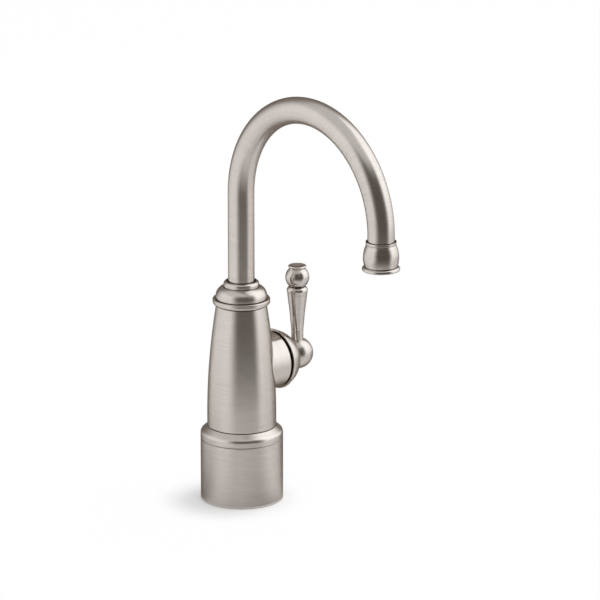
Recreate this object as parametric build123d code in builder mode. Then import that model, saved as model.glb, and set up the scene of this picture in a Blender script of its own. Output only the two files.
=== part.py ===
"""Single-handle beverage faucet, built piece by piece in millimetres.

Up is +Z, the spout reaches towards -Y and the handle stands on the +X side.
The origin is the centre of the base on the deck.
"""

import os
from math import sqrt

from build123d import *

os.makedirs("parts", exist_ok=True)


def reach_of(radius, offset):
    """Half width of a circle at a distance from its centre."""
    return sqrt(radius**2 - offset**2)


# Clearances
fit = 0.05  # radial, between pieces that are assembled and stay put
running = 0.3  # radial, between pieces that turn against each other
lift = 0.2  # end float between turning pieces
seam = 0.25  # edge break that shows as a line where two pieces meet
shadow_h = 0.35  # rebate that draws a dark line under the dome
shadow_d = 0.6
rebate_h = 0.6  # the same at the column's foot and top
rebate_d = 0.9

# Base
base_r = 25.8
sleeve_h = 39.5
sleeve_wall = 1.5
shoulder_h = 8.0
shoulder_rise = 3.1  # upright rim of the shoulder ring below its round
shoulder_arc = 3.15
shoulder_turn = 50  # how far the round goes before the cone starts

# Column
column_r = 21.56
column_wall = 2.6
column_h = 78.8
column_drop = [(0.095, 0), (0.296, 0.3), (0.562, 1.58), (0.793, 3.5), (0.925, 4.91), (1, 5.76)]
column_lean = 0.14  # inward slope at the top of the column

# Side boss and valve
valve_rise = 37.3
boss_r = 17.6
boss_x = 25.9
boss_bore = 14.0
pocket_r = 11.1
pocket_x = -3.5

# Trim on top of the column
bead_r = 17.94
bead_h = 3.8
bead_low_round = 1.7
bead_top_round = 0.7
dome_r = 16.1
dome_wall = 1.3
dome_arc = 6.63
collar_r = 11.13
collar_h = 3.5
collar_lip = 1.88

# Spout
reach = 128.6
tube_r = 8.25
tube_wall = 1.2
spout_rise = 67.5  # straight run above the dome's foot
outlet_drop = 21.0  # from the end of the bend to the rim of the tip
tube_plug = 10.0

# Outlet tip
tip_h = 18.1
rim_r = 11.57
rim_round = 1.6
rim_h = 2.5
rim_step = 1.5  # from the rim in to the crease under the belly
belly_arc = 17.6
lip_r = 9.36
lip_h = 1.85
lip_wall = 0.42
lip_gap_d = 1.1
aerator_r = 9.2

# Handle
lever_x = 46.2
hub_ball = 10.0
skirt_arc = 19.2
skirt_centre = 23.3
skirt_x = 27.0
skirt_wall = 2.3
skirt_rim_r = 18.95
skirt_rim_w = 1.2
skirt_line_w = 0.3  # groove between the rim and the dome of the skirt
skirt_line_d = 0.35
lever_r = 3.83
lever_collar_r = 6.65
lever_collar_rise = 41.15
lever_swell = [(0, 0), (0.066, 0.067), (0.47, 0.408), (0.723, 0.702), (1, 1)]
lever_neck_r = 5.2
lever_neck_h = 2.35
finial_r = 7.55
finial_seat = 5.97  # ball centre above the lever's neck
cap_r = 5.7

# Mounting below the deck
deck_t = 30.0
gasket_t = 1.2
shank_r = 5.556
shank_bore = 3.0
shank_drop = 60.0
rubber_r = 19.0
rubber_t = 3.0
clamp_r = 17.5
clamp_t = 2.0
nut_flats = 22.0
nut_h = 8.0
supply_r = 3.25
connector_flats = 16.0
connector_hex_h = 12.0

# Heights that follow from these
shoulder_top = sleeve_h + shoulder_h
bead_z = shoulder_top + column_h
dome_z = bead_z + bead_h
bend_z = dome_z + spout_rise
bend_r = reach / 2
tip_bottom = bend_z - outlet_drop
valve_z = shoulder_top + valve_rise
lever_collar_z = valve_z + lever_collar_rise
lever_neck_z = lever_collar_z + lever_neck_h
finial_z = lever_neck_z + finial_seat


# Base: an outer sleeve, the shoulder ring on it and the cast riser inside

riser_r = base_r - sleeve_wall - 0.5
riser_hub = 12.0
rib_t = 2.6
plate_r = base_r - sleeve_wall - 2.1
plate_top = sleeve_h + 1.0
spigot_r = column_r - column_wall - 0.06
riser_top = shoulder_top + 6.5
shank_top = gasket_t + 20.0
socket_z = riser_top - 8.0
socket_r = 6.0

with BuildPart() as base_sleeve:
    with BuildSketch(Plane.XZ):
        with BuildLine():
            Polyline(
                (base_r - sleeve_wall, 0),
                (base_r - seam, 0),
                (base_r, seam),
                (base_r, sleeve_h - seam),
                (base_r - seam, sleeve_h),
                (base_r - sleeve_wall, sleeve_h),
                close=True,
            )
        make_face()
    revolve(axis=Axis.Z)
base_sleeve.part.label = "base_sleeve"
export_step(base_sleeve.part, "parts/base_sleeve.step")

round_centre = (base_r - shoulder_arc, sleeve_h + shoulder_rise)
with BuildPart() as base_shoulder:
    with BuildSketch(Plane.XZ):
        with BuildLine():
            round_over = CenterArc(round_centre, shoulder_arc, 0, shoulder_turn)
            Polyline(
                round_over @ 0,
                (base_r, sleeve_h + seam),
                (base_r - seam, sleeve_h),
                (base_r - sleeve_wall - fit, sleeve_h),
                (base_r - sleeve_wall - fit, sleeve_h - 5.5),
                (plate_r + fit, sleeve_h - 5.5),
                (plate_r + fit, plate_top),
                (spigot_r + fit, plate_top),
                (spigot_r + fit, shoulder_top),
                (column_r, shoulder_top),
                round_over @ 1,
            )
        make_face()
    revolve(axis=Axis.Z)
base_shoulder.part.label = "base_shoulder"
export_step(base_shoulder.part, "parts/base_shoulder.step")

flange_top = gasket_t + 3.0
plate_z = plate_top - 4.5
with BuildPart() as base_riser:
    with BuildSketch(Plane.XY.offset(gasket_t)):
        Circle(riser_r)
    extrude(amount=flange_top - gasket_t)
    with BuildSketch(Plane.XY.offset(flange_top)):
        Circle(riser_hub)
        with PolarLocations((riser_hub - 1 + plate_r) / 2, 6):
            Rectangle(plate_r - riser_hub + 1, rib_t)
    extrude(amount=plate_z - flange_top)
    with BuildSketch(Plane.XY.offset(plate_z)):
        Circle(plate_r)
    extrude(amount=plate_top - plate_z)
    with BuildSketch(Plane.XY.offset(plate_top)):
        Circle(spigot_r)
    extrude(amount=riser_top - plate_top)
    with BuildSketch(Plane.XY.offset(riser_top)):
        Circle(spigot_r - 2.4)
        Circle(9, mode=Mode.SUBTRACT)
    extrude(amount=plate_top + 3.5 - riser_top, mode=Mode.SUBTRACT)
    with BuildSketch(Plane.XY.offset(gasket_t)):
        Circle(shank_r)
    extrude(amount=shank_top - gasket_t, mode=Mode.SUBTRACT)
    with BuildSketch(Plane.XY.offset(shank_top)):
        Circle(shank_bore)
    extrude(amount=socket_z - shank_top, mode=Mode.SUBTRACT)
    with BuildSketch(Plane.XY.offset(socket_z)):
        Circle(socket_r + fit)
    extrude(amount=riser_top - socket_z, mode=Mode.SUBTRACT)
base_riser.part.label = "base_riser"
export_step(base_riser.part, "parts/base_riser.step")

with BuildPart() as deck_gasket:
    with BuildSketch(Plane.XY):
        Circle(base_r - sleeve_wall - 0.3)
        Circle(14, mode=Mode.SUBTRACT)
    extrude(amount=gasket_t)
deck_gasket.part.label = "deck_gasket"
export_step(deck_gasket.part, "parts/deck_gasket.step")


# Mounting: shank, washers and nut that clamp the deck

with BuildPart() as threaded_shank:
    with BuildSketch(Plane.XZ):
        with BuildLine():
            Polyline(
                (shank_bore, -shank_drop),
                (shank_r - 0.6, -shank_drop),
                (shank_r, 0.6 - shank_drop),
                (shank_r, shank_top - 0.6),
                (shank_r - 0.6, shank_top),
                (shank_bore, shank_top),
                close=True,
            )
        make_face()
    revolve(axis=Axis.Z)
threaded_shank.part.label = "threaded_shank"
export_step(threaded_shank.part, "parts/threaded_shank.step")

with BuildPart() as deck_washer:
    with BuildSketch(Plane.XY.offset(-deck_t)):
        Circle(rubber_r)
        Circle(shank_r + 0.3, mode=Mode.SUBTRACT)
    extrude(amount=-rubber_t)
deck_washer.part.label = "deck_washer"
export_step(deck_washer.part, "parts/deck_washer.step")

clamp_top = -deck_t - rubber_t
with BuildPart() as clamp_washer:
    with BuildSketch(Plane.XY.offset(clamp_top)):
        Circle(clamp_r)
        Circle(shank_r + 0.3, mode=Mode.SUBTRACT)
    extrude(amount=-clamp_t)
clamp_washer.part.label = "clamp_washer"
export_step(clamp_washer.part, "parts/clamp_washer.step")

nut_top = clamp_top - clamp_t
nut_corner = nut_flats / sqrt(3)
with BuildPart() as mounting_nut:
    with BuildSketch(Plane.XY.offset(nut_top)):
        RegularPolygon(nut_corner, 6)
        Circle(shank_r, mode=Mode.SUBTRACT)
    extrude(amount=-nut_h)
    with BuildSketch(Plane.XZ):
        with BuildLine():
            Polyline(
                (0, nut_top),
                (nut_flats / 2, nut_top),
                (nut_corner, nut_top - 0.9),
                (nut_corner, nut_top - nut_h + 0.9),
                (nut_flats / 2, nut_top - nut_h),
                (0, nut_top - nut_h),
                close=True,
            )
        make_face()
    revolve(axis=Axis.Z, mode=Mode.INTERSECT)
mounting_nut.part.label = "mounting_nut"
export_step(mounting_nut.part, "parts/mounting_nut.step")


# Inlet: push-in connector on the end of the shank, with its seal and collet

joint_z = -shank_drop + 10.0
tube_stop = -shank_drop - 4.0
seal_top = tube_stop - 10.0
collet_top = seal_top - 1.8
connector_end = collet_top - 3.8
collet_end = connector_end - 1.8
with BuildPart() as inlet_connector:
    with BuildSketch(Plane.XY.offset(joint_z)):
        RegularPolygon(connector_flats / sqrt(3), 6)
    extrude(amount=-connector_hex_h)
    with BuildSketch(Plane.XY.offset(joint_z - connector_hex_h)):
        Circle(connector_flats / 2 - 0.6)
    extrude(amount=connector_end - joint_z + connector_hex_h)
    with BuildSketch(Plane.XZ):
        with BuildLine():
            Polyline(
                (0, joint_z),
                (shank_r, joint_z),
                (shank_r, -shank_drop),
                (supply_r - 0.8, -shank_drop),
                (supply_r - 0.8, tube_stop),
                (supply_r, tube_stop),
                (supply_r, seal_top),
                (supply_r + 1.7, seal_top),
                (supply_r + 1.7, connector_end),
                (0, connector_end),
                close=True,
            )
        make_face()
    revolve(axis=Axis.Z, mode=Mode.SUBTRACT)
inlet_connector.part.label = "inlet_connector"
export_step(inlet_connector.part, "parts/inlet_connector.step")

with BuildPart() as connector_o_ring:
    with BuildSketch(Plane.XZ):
        with Locations((supply_r + 0.85, (seal_top + collet_top) / 2)):
            Circle(0.85)
    revolve(axis=Axis.Z)
connector_o_ring.part.label = "connector_o_ring"
export_step(connector_o_ring.part, "parts/connector_o_ring.step")

with BuildPart() as connector_collet:
    with BuildSketch(Plane.XZ):
        with BuildLine():
            Polyline(
                (supply_r, collet_top),
                (supply_r + 1.65, collet_top),
                (supply_r + 1.65, connector_end),
                (supply_r + 3.2, connector_end),
                (supply_r + 3.2, collet_end + 0.4),
                (supply_r + 2.8, collet_end),
                (supply_r, collet_end),
                close=True,
            )
        make_face()
    revolve(axis=Axis.Z)
connector_collet.part.label = "connector_collet"
export_step(connector_collet.part, "parts/connector_collet.step")


# Planes and axes of the valve, the lever and the outlet

valve_plane = Plane(origin=(0, 0, valve_z), x_dir=(1, 0, 0), z_dir=(0, -1, 0))
valve_axis = Axis((0, 0, valve_z), (1, 0, 0))
lever_plane = Plane(origin=(lever_x, 0, 0), x_dir=(1, 0, 0), z_dir=(0, -1, 0))
lever_axis = Axis((lever_x, 0, 0), (0, 0, 1))
outlet_plane = Plane(origin=(0, -reach, 0), x_dir=(1, 0, 0), z_dir=(0, -1, 0))
outlet_axis = Axis((0, -reach, 0), (0, 0, 1))


def across(x):
    """Plane square to the valve axis at a distance from the column's axis."""
    return Plane(origin=(x, 0, valve_z), x_dir=(0, 1, 0), z_dir=(1, 0, 0))


# Column: the tapered shell with its side boss

column_top_r = column_r - column_drop[-1][1]
outer_curve = [(column_r - drop, shoulder_top + part * column_h) for part, drop in column_drop]
inner_curve = [(radius - column_wall, height) for radius, height in outer_curve]
with BuildPart() as column_shell:
    with BuildSketch(Plane.XZ):
        with BuildLine():
            flank = Spline(*outer_curve, tangents=((0, 1), (-column_lean, 1)))
            Polyline(
                flank @ 1,
                (0, bead_z),
                (0, shoulder_top),
                (column_r - rebate_d, shoulder_top),
                (column_r - rebate_d, shoulder_top + rebate_h),
                (column_r, shoulder_top + rebate_h),
                flank @ 0,
            )
        make_face()
    revolve(axis=Axis.Z)
    with BuildSketch(Plane.XY.offset(bead_z - rebate_h)):
        Circle(column_r)
        Circle(column_top_r - rebate_d, mode=Mode.SUBTRACT)
    extrude(amount=rebate_h, mode=Mode.SUBTRACT)
    with BuildSketch(valve_plane):
        with BuildLine():
            Polyline(
                (0, 0),
                (boss_x, 0),
                (boss_x, boss_r - seam),
                (boss_x - seam, boss_r),
                (0, boss_r),
                close=True,
            )
        make_face()
    revolve(axis=valve_axis)
    with BuildSketch(Plane.XZ):
        with BuildLine():
            hollow = Spline(*inner_curve, tangents=((0, 1), (-column_lean, 1)))
            Polyline(
                hollow @ 1,
                (0, bead_z),
                (0, shoulder_top),
                (column_r - column_wall, shoulder_top),
                hollow @ 0,
            )
        make_face()
    revolve(axis=Axis.Z, mode=Mode.SUBTRACT)
    with BuildSketch(across(0)):
        Circle(boss_bore)
    extrude(amount=boss_x, mode=Mode.SUBTRACT)
column_shell.part.label = "column_shell"
export_step(column_shell.part, "parts/column_shell.step")


# Waterway: the brass core with the valve pocket and the spout socket

core_r = column_top_r - column_wall - 0.4
core_top = dome_z + 3.4
socket_floor = valve_z + 16.2
socket_bore = 7.75
seat_r = core_r - 1.9
seat_z = core_top - 21.5
clip_z = core_top - 9.2
clip_t = 1.3
pocket_end = column_r - column_wall - 1.6
feed_x = pocket_x - 4.5
feed_r = 2.6
cross_z = valve_z - pocket_r - 10.7

with BuildPart() as waterway_body:
    with BuildSketch(Plane.XZ):
        with BuildLine():
            Polyline(
                (0, socket_z),
                (socket_r, socket_z),
                (socket_r, socket_z + 2.6),
                (socket_r - 1.3, socket_z + 2.6),
                (socket_r - 1.3, socket_z + 4.6),
                (socket_r, socket_z + 4.6),
                (socket_r, riser_top),
                (spigot_r - 0.5, riser_top),
                (spigot_r - 0.5, riser_top + 3.0),
                (core_r, riser_top + 3.0),
                (core_r, core_top),
                (0, core_top),
                close=True,
            )
        make_face()
    revolve(axis=Axis.Z)
    with BuildSketch(across(0)):
        Circle(boss_bore - 0.1)
    extrude(amount=pocket_end)
    with BuildSketch(across(pocket_x)):
        Circle(pocket_r)
    extrude(amount=pocket_end - pocket_x, mode=Mode.SUBTRACT)
    with BuildSketch(Plane.XZ):
        with BuildLine():
            Polyline(
                (0, socket_floor),
                (socket_bore, socket_floor),
                (socket_bore, seat_z),
                (seat_r, seat_z),
                (seat_r, clip_z),
                (seat_r + 0.8, clip_z),
                (seat_r + 0.8, clip_z + clip_t),
                (seat_r, clip_z + clip_t),
                (seat_r, core_top),
                (0, core_top),
                close=True,
            )
        make_face()
    revolve(axis=Axis.Z, mode=Mode.SUBTRACT)
    with BuildSketch(Plane.XY.offset(socket_z)):
        Circle(shank_bore)
    extrude(amount=cross_z - socket_z, mode=Mode.SUBTRACT)
    with BuildSketch(Plane(origin=(feed_x, 0, cross_z), x_dir=(0, 1, 0), z_dir=(1, 0, 0))):
        Circle(feed_r)
    extrude(amount=shank_bore - feed_x, mode=Mode.SUBTRACT)
    with BuildSketch(Plane.XY.offset(cross_z)):
        with Locations((feed_x, 0)):
            Circle(feed_r)
    extrude(amount=valve_z - cross_z, mode=Mode.SUBTRACT)
    with BuildSketch(across(feed_x)):
        Circle(3.4)
    extrude(amount=pocket_x - feed_x, mode=Mode.SUBTRACT)
    with BuildSketch(Plane.XY.offset(valve_z + pocket_r - 1.6)):
        with Locations((2, 0)):
            Circle(feed_r)
    extrude(amount=socket_floor - valve_z - pocket_r + 1.6, mode=Mode.SUBTRACT)
waterway_body.part.label = "waterway_body"
export_step(waterway_body.part, "parts/waterway_body.step")

with BuildPart() as riser_o_ring:
    with BuildSketch(Plane.XZ):
        with Locations((socket_r - 0.5, socket_z + 3.6)):
            Ellipse(0.54, 0.9)
    revolve(axis=Axis.Z)
riser_o_ring.part.label = "riser_o_ring"
export_step(riser_o_ring.part, "parts/riser_o_ring.step")


# Trim: bead ring and the domed bonnet with its collar

with BuildPart() as bead_ring:
    with BuildSketch(Plane.XZ):
        with BuildLine():
            low = CenterArc((bead_r - bead_low_round, bead_z + bead_low_round), bead_low_round, 270, 90)
            top = CenterArc((bead_r - bead_top_round, dome_z - bead_top_round), bead_top_round, 0, 90)
            Line(low @ 1, top @ 0)
            Polyline(top @ 1, (core_r + fit, dome_z), (core_r + fit, bead_z), low @ 0)
        make_face()
    revolve(axis=Axis.Z)
bead_ring.part.label = "bead_ring"
export_step(bead_ring.part, "parts/bead_ring.step")

dome_centre = (dome_r - dome_arc, dome_z + dome_wall)
dome_foot = collar_r + 0.35
collar_z = dome_centre[1] + reach_of(dome_arc, dome_foot - dome_centre[0])
collar_top = collar_z + collar_h
lip_centre = (collar_r - collar_lip, collar_top - collar_lip)
with BuildPart() as spout_bonnet:
    with BuildSketch(Plane.XZ):
        with BuildLine():
            dome = RadiusArc((dome_foot, collar_z), (dome_r, dome_centre[1]), dome_arc)
            lip = CenterArc(lip_centre, collar_lip, 0, 90)
            Polyline(
                dome @ 1,
                (dome_r, dome_z + shadow_h),
                (dome_r - shadow_d, dome_z + shadow_h),
                (dome_r - shadow_d, dome_z),
                (core_r + fit, dome_z),
                (core_r + fit, core_top + 1.0),
                (collar_r - collar_lip, core_top + 1.0),
                lip @ 1,
            )
            Polyline(
                lip @ 0,
                (collar_r, collar_z + 0.35),
                (collar_r - 0.25, collar_z + 0.35),
                (collar_r - 0.25, collar_z),
                (dome_foot, collar_z),
            )
        make_face()
    revolve(axis=Axis.Z)
spout_bonnet.part.label = "spout_bonnet"
export_step(spout_bonnet.part, "parts/spout_bonnet.step")


# Spout: the bent tube and the flanged post that turns in the socket

post_r = socket_bore - running
post_z = socket_floor + 0.6
flange_z = seat_z + 2.3
tube_z = flange_z + 3.0
groove_heights = [post_z + 2.2, post_z + 6.4]
groove_d = 1.3
groove_h = 1.9

with BuildPart() as spout_post:
    with BuildSketch(Plane.XY.offset(post_z)):
        Circle(post_r)
    extrude(amount=flange_z - post_z)
    with BuildSketch(Plane.XY.offset(flange_z)):
        Circle(seat_r - running - 0.1)
    extrude(amount=tube_z - flange_z)
    with BuildSketch(Plane.XY.offset(tube_z)):
        Circle(tube_r - tube_wall)
    extrude(amount=tube_plug)
    for groove_z in groove_heights:
        with BuildSketch(Plane.XY.offset(groove_z)):
            Circle(post_r + 1)
            Circle(post_r - groove_d, mode=Mode.SUBTRACT)
        extrude(amount=groove_h, mode=Mode.SUBTRACT)
    with BuildSketch(Plane.XY.offset(post_z)):
        Circle(4.4)
    extrude(amount=tube_z + tube_plug - post_z, mode=Mode.SUBTRACT)
spout_post.part.label = "spout_post"
export_step(spout_post.part, "parts/spout_post.step")

with BuildPart() as spout_o_rings:
    with BuildSketch(Plane.XZ):
        for groove_z in groove_heights:
            with Locations((post_r - groove_d / 2, groove_z + groove_h / 2)):
                Ellipse(groove_d / 2, groove_h / 2)
    revolve(axis=Axis.Z)
spout_o_rings.part.label = "spout_o_rings"
export_step(spout_o_rings.part, "parts/spout_o_rings.step")

with BuildPart() as lower_bushing:
    with BuildSketch(Plane.XY.offset(seat_z)):
        Circle(seat_r - fit)
        Circle(socket_bore, mode=Mode.SUBTRACT)
    extrude(amount=flange_z - seat_z)
lower_bushing.part.label = "lower_bushing"
export_step(lower_bushing.part, "parts/lower_bushing.step")

with BuildPart() as upper_bushing:
    with BuildSketch(Plane.XY.offset(tube_z + lift)):
        Circle(seat_r - fit)
        Circle(tube_r + running, mode=Mode.SUBTRACT)
    extrude(amount=clip_z - tube_z - lift)
upper_bushing.part.label = "upper_bushing"
export_step(upper_bushing.part, "parts/upper_bushing.step")

with BuildPart() as retaining_clip:
    with BuildSketch(Plane.XY.offset(clip_z)):
        Circle(seat_r + 0.75)
        Circle(seat_r - 1.3, mode=Mode.SUBTRACT)
        with Locations((0, seat_r)):
            Rectangle(7, 5, mode=Mode.SUBTRACT)
    extrude(amount=clip_t)
retaining_clip.part.label = "retaining_clip"
export_step(retaining_clip.part, "parts/retaining_clip.step")

tip_top = tip_bottom + tip_h
tube_end = tip_top - 6.7
with BuildPart() as spout_tube:
    with BuildLine() as spout_path:
        Line((0, 0, tube_z), (0, 0, bend_z))
        ThreePointArc((0, 0, bend_z), (0, -bend_r, bend_z + bend_r), (0, -reach, bend_z))
        Line((0, -reach, bend_z), (0, -reach, tube_end))
    with BuildSketch(Plane.XY.offset(tube_z)):
        Circle(tube_r)
        Circle(tube_r - tube_wall, mode=Mode.SUBTRACT)
    sweep(path=spout_path.wires()[0])
spout_tube.part.label = "spout_tube"
export_step(spout_tube.part, "parts/spout_tube.step")


# Outlet: the bell-shaped tip and the aerator in it

crease_r = rim_r - rim_step
crease_z = tip_bottom + rim_h - rim_round + reach_of(rim_round, rim_round - rim_step)
neck_r = lip_r - 0.48
neck_z = tip_top - lip_h
washer_top = tube_end - 0.5
housing_r = aerator_r + fit
with BuildPart() as spout_tip:
    with BuildSketch(outlet_plane):
        with BuildLine():
            belly = RadiusArc((neck_r, neck_z), (crease_r, crease_z), belly_arc)
            rim = RadiusArc(belly @ 1, (rim_r, tip_bottom + rim_h - rim_round), rim_round)
            foot = CenterArc((rim_r - 0.76, tip_bottom + 0.76), 0.76, 270, 90)
            Line(rim @ 1, foot @ 1)
            top = CenterArc((lip_r - 0.2, tip_top - 0.2), 0.2, 0, 90)
            under = CenterArc((lip_r - 0.5, neck_z + 0.5), 0.5, 270, 90)
            Line(top @ 0, under @ 1)
            Line(under @ 0, (neck_r, neck_z))
            Polyline(
                top @ 1,
                (lip_r - lip_wall, tip_top),
                (lip_r - lip_wall, tip_top - lip_gap_d),
                (tube_r + fit, tip_top - lip_gap_d),
                (tube_r + fit, washer_top),
                (housing_r, washer_top),
                (housing_r, tip_bottom),
                foot @ 0,
            )
        make_face()
    revolve(axis=outlet_axis)
spout_tip.part.label = "spout_tip"
export_step(spout_tip.part, "parts/spout_tip.step")

aerator_top = washer_top - 1.2
aerator_low = tip_bottom + 0.8
cup_r = aerator_r - 1.8
screen_z = aerator_low + 0.5
with BuildPart() as aerator_washer:
    with BuildSketch(Plane.XY.offset(aerator_top)):
        with Locations((0, -reach)):
            Circle(aerator_r)
            Circle(aerator_r - 2.6, mode=Mode.SUBTRACT)
    extrude(amount=washer_top - aerator_top)
aerator_washer.part.label = "aerator_washer"
export_step(aerator_washer.part, "parts/aerator_washer.step")

with BuildPart() as aerator_body:
    with BuildSketch(Plane.XY.offset(aerator_low)):
        with Locations((0, -reach)):
            Circle(aerator_r)
    extrude(amount=aerator_top - aerator_low)
    with BuildSketch(Plane.XY.offset(aerator_low)):
        with Locations((0, -reach)):
            Circle(cup_r - 0.5)
    extrude(amount=screen_z - aerator_low, mode=Mode.SUBTRACT)
    with BuildSketch(Plane.XY.offset(screen_z)):
        with Locations((0, -reach)):
            Circle(cup_r)
    extrude(amount=aerator_top - 2.0 - screen_z, mode=Mode.SUBTRACT)
    with BuildSketch(Plane.XY.offset(aerator_top)):
        with Locations((0, -reach)):
            with PolarLocations(3.9, 8):
                Circle(0.9)
    extrude(amount=-2.0, mode=Mode.SUBTRACT)
    with BuildSketch(Plane.XY.offset(aerator_low)):
        with Locations((0, -reach)):
            with PolarLocations(aerator_r, 6):
                Rectangle(1.6, 2.4)
    extrude(amount=1.5, mode=Mode.SUBTRACT)
aerator_body.part.label = "aerator_body"
export_step(aerator_body.part, "parts/aerator_body.step")

with BuildPart() as aerator_screen:
    with BuildSketch(Plane.XY.offset(screen_z)):
        with Locations((0, -reach)):
            Circle(cup_r - fit)
            for ring in (1, 2, 3):
                with PolarLocations(1.85 * ring, 6 * ring):
                    Circle(0.62, mode=Mode.SUBTRACT)
    extrude(amount=0.6)
aerator_screen.part.label = "aerator_screen"
export_step(aerator_screen.part, "parts/aerator_screen.step")


# Cartridge: quarter-turn ceramic discs in a brass body, held by the cartridge nut

seal_t = 2.2
fixed_x = pocket_x + seal_t
fixed_t = 3.2
moving_x = fixed_x + fixed_t
moving_t = 3.0
fork_x = moving_x + moving_t + 0.2
fork_t = 2.2
shelf_x = fork_x + fork_t + 0.3
disc_r = 8.0
barrel_r = disc_r + 1.3
guide_x = shelf_x + 1.4
guide_t = 3.5
guide_r = pocket_r - 0.2
neck_bore = 4.8
barrel_neck = 7.0
nut_face = boss_x + 0.7
crown_x = nut_face + 2.0
port_in = 2.4
port_out = 6.2
port_angle = 80
key_w = 3.0

with BuildPart() as seat_seal:
    with BuildSketch(across(pocket_x)):
        Circle(disc_r - fit)
        Circle(port_out - 1.0, mode=Mode.SUBTRACT)
    extrude(amount=seal_t)
seat_seal.part.label = "seat_seal"
export_step(seat_seal.part, "parts/seat_seal.step")

with BuildPart() as fixed_disc:
    with BuildSketch(across(fixed_x)):
        Circle(disc_r - fit)
        for side in (1, -1):
            with Locations((side * disc_r, 0)):
                Rectangle(1.8, key_w - 2 * fit)
    extrude(amount=fixed_t)
    with BuildSketch(across(fixed_x)):
        for middle in (90, 270):
            with BuildLine():
                far = CenterArc((0, 0), port_out, middle - port_angle / 2, port_angle)
                near = CenterArc((0, 0), port_in, middle - port_angle / 2, port_angle)
                Line(far @ 0, near @ 0)
                Line(far @ 1, near @ 1)
            make_face()
    extrude(amount=fixed_t, mode=Mode.SUBTRACT)
fixed_disc.part.label = "fixed_disc"
export_step(fixed_disc.part, "parts/fixed_disc.step")

lug_w = 3.6
lug_d = 1.6
with BuildPart() as moving_disc:
    with BuildSketch(across(moving_x)):
        Circle(disc_r - running - 0.1)
    extrude(amount=moving_t)
    with BuildSketch(across(moving_x)):
        for middle in (0, 180):
            with BuildLine():
                far = CenterArc((0, 0), port_out, middle - port_angle / 2, port_angle)
                near = CenterArc((0, 0), port_in, middle - port_angle / 2, port_angle)
                Line(far @ 0, near @ 0)
                Line(far @ 1, near @ 1)
            make_face()
    extrude(amount=moving_t, mode=Mode.SUBTRACT)
    with BuildSketch(across(moving_x + moving_t - lug_d)):
        for side in (1, -1):
            with Locations((0, side * (disc_r - 1.4))):
                Rectangle(lug_w, 4.0)
    extrude(amount=lug_d, mode=Mode.SUBTRACT)
moving_disc.part.label = "moving_disc"
export_step(moving_disc.part, "parts/moving_disc.step")

stop_arc = 140
lug_arc = 40
with BuildPart() as cartridge_body:
    with BuildSketch(valve_plane):
        with BuildLine():
            Polyline(
                (pocket_x + 0.8, disc_r),
                (pocket_x + 0.8, barrel_r),
                (guide_x, barrel_r),
                (guide_x, guide_r),
                (guide_x + 0.9, guide_r),
                (guide_x + 0.9, guide_r - 1.5),
                (guide_x + 2.6, guide_r - 1.5),
                (guide_x + 2.6, guide_r),
                (guide_x + guide_t, guide_r),
                (guide_x + guide_t, barrel_neck),
                (crown_x, barrel_neck),
                (crown_x, neck_bore),
                (shelf_x, neck_bore),
                (shelf_x, disc_r),
                close=True,
            )
        make_face()
    revolve(axis=valve_axis)
    with BuildSketch(across(nut_face)):
        with BuildLine():
            stop = CenterArc((0, 0), barrel_neck + 1, 235 - stop_arc / 2, stop_arc)
            Polyline(stop @ 0, (0, 0), stop @ 1)
        make_face()
    extrude(amount=crown_x - nut_face, mode=Mode.SUBTRACT)
    with BuildSketch(across(moving_x + 0.5)):
        Rectangle(8.0, 2 * barrel_r + 2)
        Circle(neck_bore, mode=Mode.SUBTRACT)
    extrude(amount=shelf_x - moving_x - 0.7, mode=Mode.SUBTRACT)
    with BuildSketch(across(pocket_x + 0.8)):
        Rectangle(2 * barrel_r + 2, key_w)
    extrude(amount=moving_x - pocket_x - 0.8, mode=Mode.SUBTRACT)
cartridge_body.part.label = "cartridge_body"
export_step(cartridge_body.part, "parts/cartridge_body.step")

with BuildPart() as cartridge_o_ring:
    with BuildSketch(valve_plane):
        with Locations((guide_x + 1.75, guide_r - 0.65)):
            Ellipse(0.85, 0.84)
    revolve(axis=valve_axis)
cartridge_o_ring.part.label = "cartridge_o_ring"
export_step(cartridge_o_ring.part, "parts/cartridge_o_ring.step")

nut_x = guide_x + guide_t
with BuildPart() as cartridge_nut:
    with BuildSketch(valve_plane):
        with BuildLine():
            Polyline(
                (nut_x, barrel_neck + fit),
                (nut_x, pocket_r),
                (pocket_end, pocket_r),
                (pocket_end, boss_bore - 0.2),
                (boss_x, boss_bore - 0.2),
                (boss_x, boss_bore + 1.2),
                (nut_face, boss_bore + 1.2),
                (nut_face, barrel_neck + fit),
                close=True,
            )
        make_face()
    revolve(axis=valve_axis)
    with BuildSketch(across(nut_face)):
        with PolarLocations(boss_bore - 2.4, 4, 45):
            Circle(1.3)
    extrude(amount=-4.0, mode=Mode.SUBTRACT)
cartridge_nut.part.label = "cartridge_nut"
export_step(cartridge_nut.part, "parts/cartridge_nut.step")


# Handle: stem, hollow hub, lever and finial

stem_r = neck_bore - running
drive_r = 3.9
post_x = crown_x + 1.9
stem_end = lever_x - 3.2
flat_d = 0.7
screw_x = (post_x + lever_x - hub_ball) / 2 + 1.6

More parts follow.
